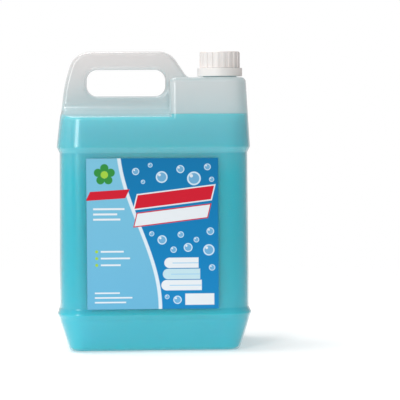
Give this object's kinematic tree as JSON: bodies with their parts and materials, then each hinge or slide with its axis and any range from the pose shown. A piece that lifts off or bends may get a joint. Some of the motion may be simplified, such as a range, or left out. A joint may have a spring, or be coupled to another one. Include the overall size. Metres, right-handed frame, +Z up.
{
  "type": "laundry detergent bottle",
  "caption": "Five litre translucent jerry-can bottle with hollow side handle, ribbed screw cap, tamper band, front label and turquoise liquid.",
  "frame": {"origin": "centre of the base, on the surface that the bottle stands on", "axes": "+Z up, +X from the handle towards the cap, the label faces -Y"},
  "size_m": [0.1888, 0.1354, 0.292],
  "materials": {
    "translucent_polyethylene": "satin, milky translucent",
    "turquoise_liquid": "clear liquid",
    "printed_film": "printed film",
    "cap_polyethylene": "satin",
    "liner_foam": "matte foam"
  },
  "bodies": {
    "bottle": {"bottle_shell": "translucent_polyethylene", "detergent": "turquoise_liquid", "label": "printed_film", "tamper_band": "cap_polyethylene"},
    "liner": {"cap_liner": "liner_foam"},
    "cap": {"screw_cap": "cap_polyethylene"}
  },
  "joints": [
    {"name": "cap_lift", "type": "slide", "parent": "bottle", "child": "liner", "axis": [0, 0, 1], "range_m": [0, 0.007]},
    {"name": "cap_turn", "type": "hinge", "parent": "liner", "child": "cap", "pos_m": [0.0671, 0, 0.28], "axis": [0, 0, 1], "range_deg": [0, 602]}
  ],
  "couplings": [
    {"joint": "cap_turn", "follows": "cap_lift", "rad_per_m": 1496}
  ]
}
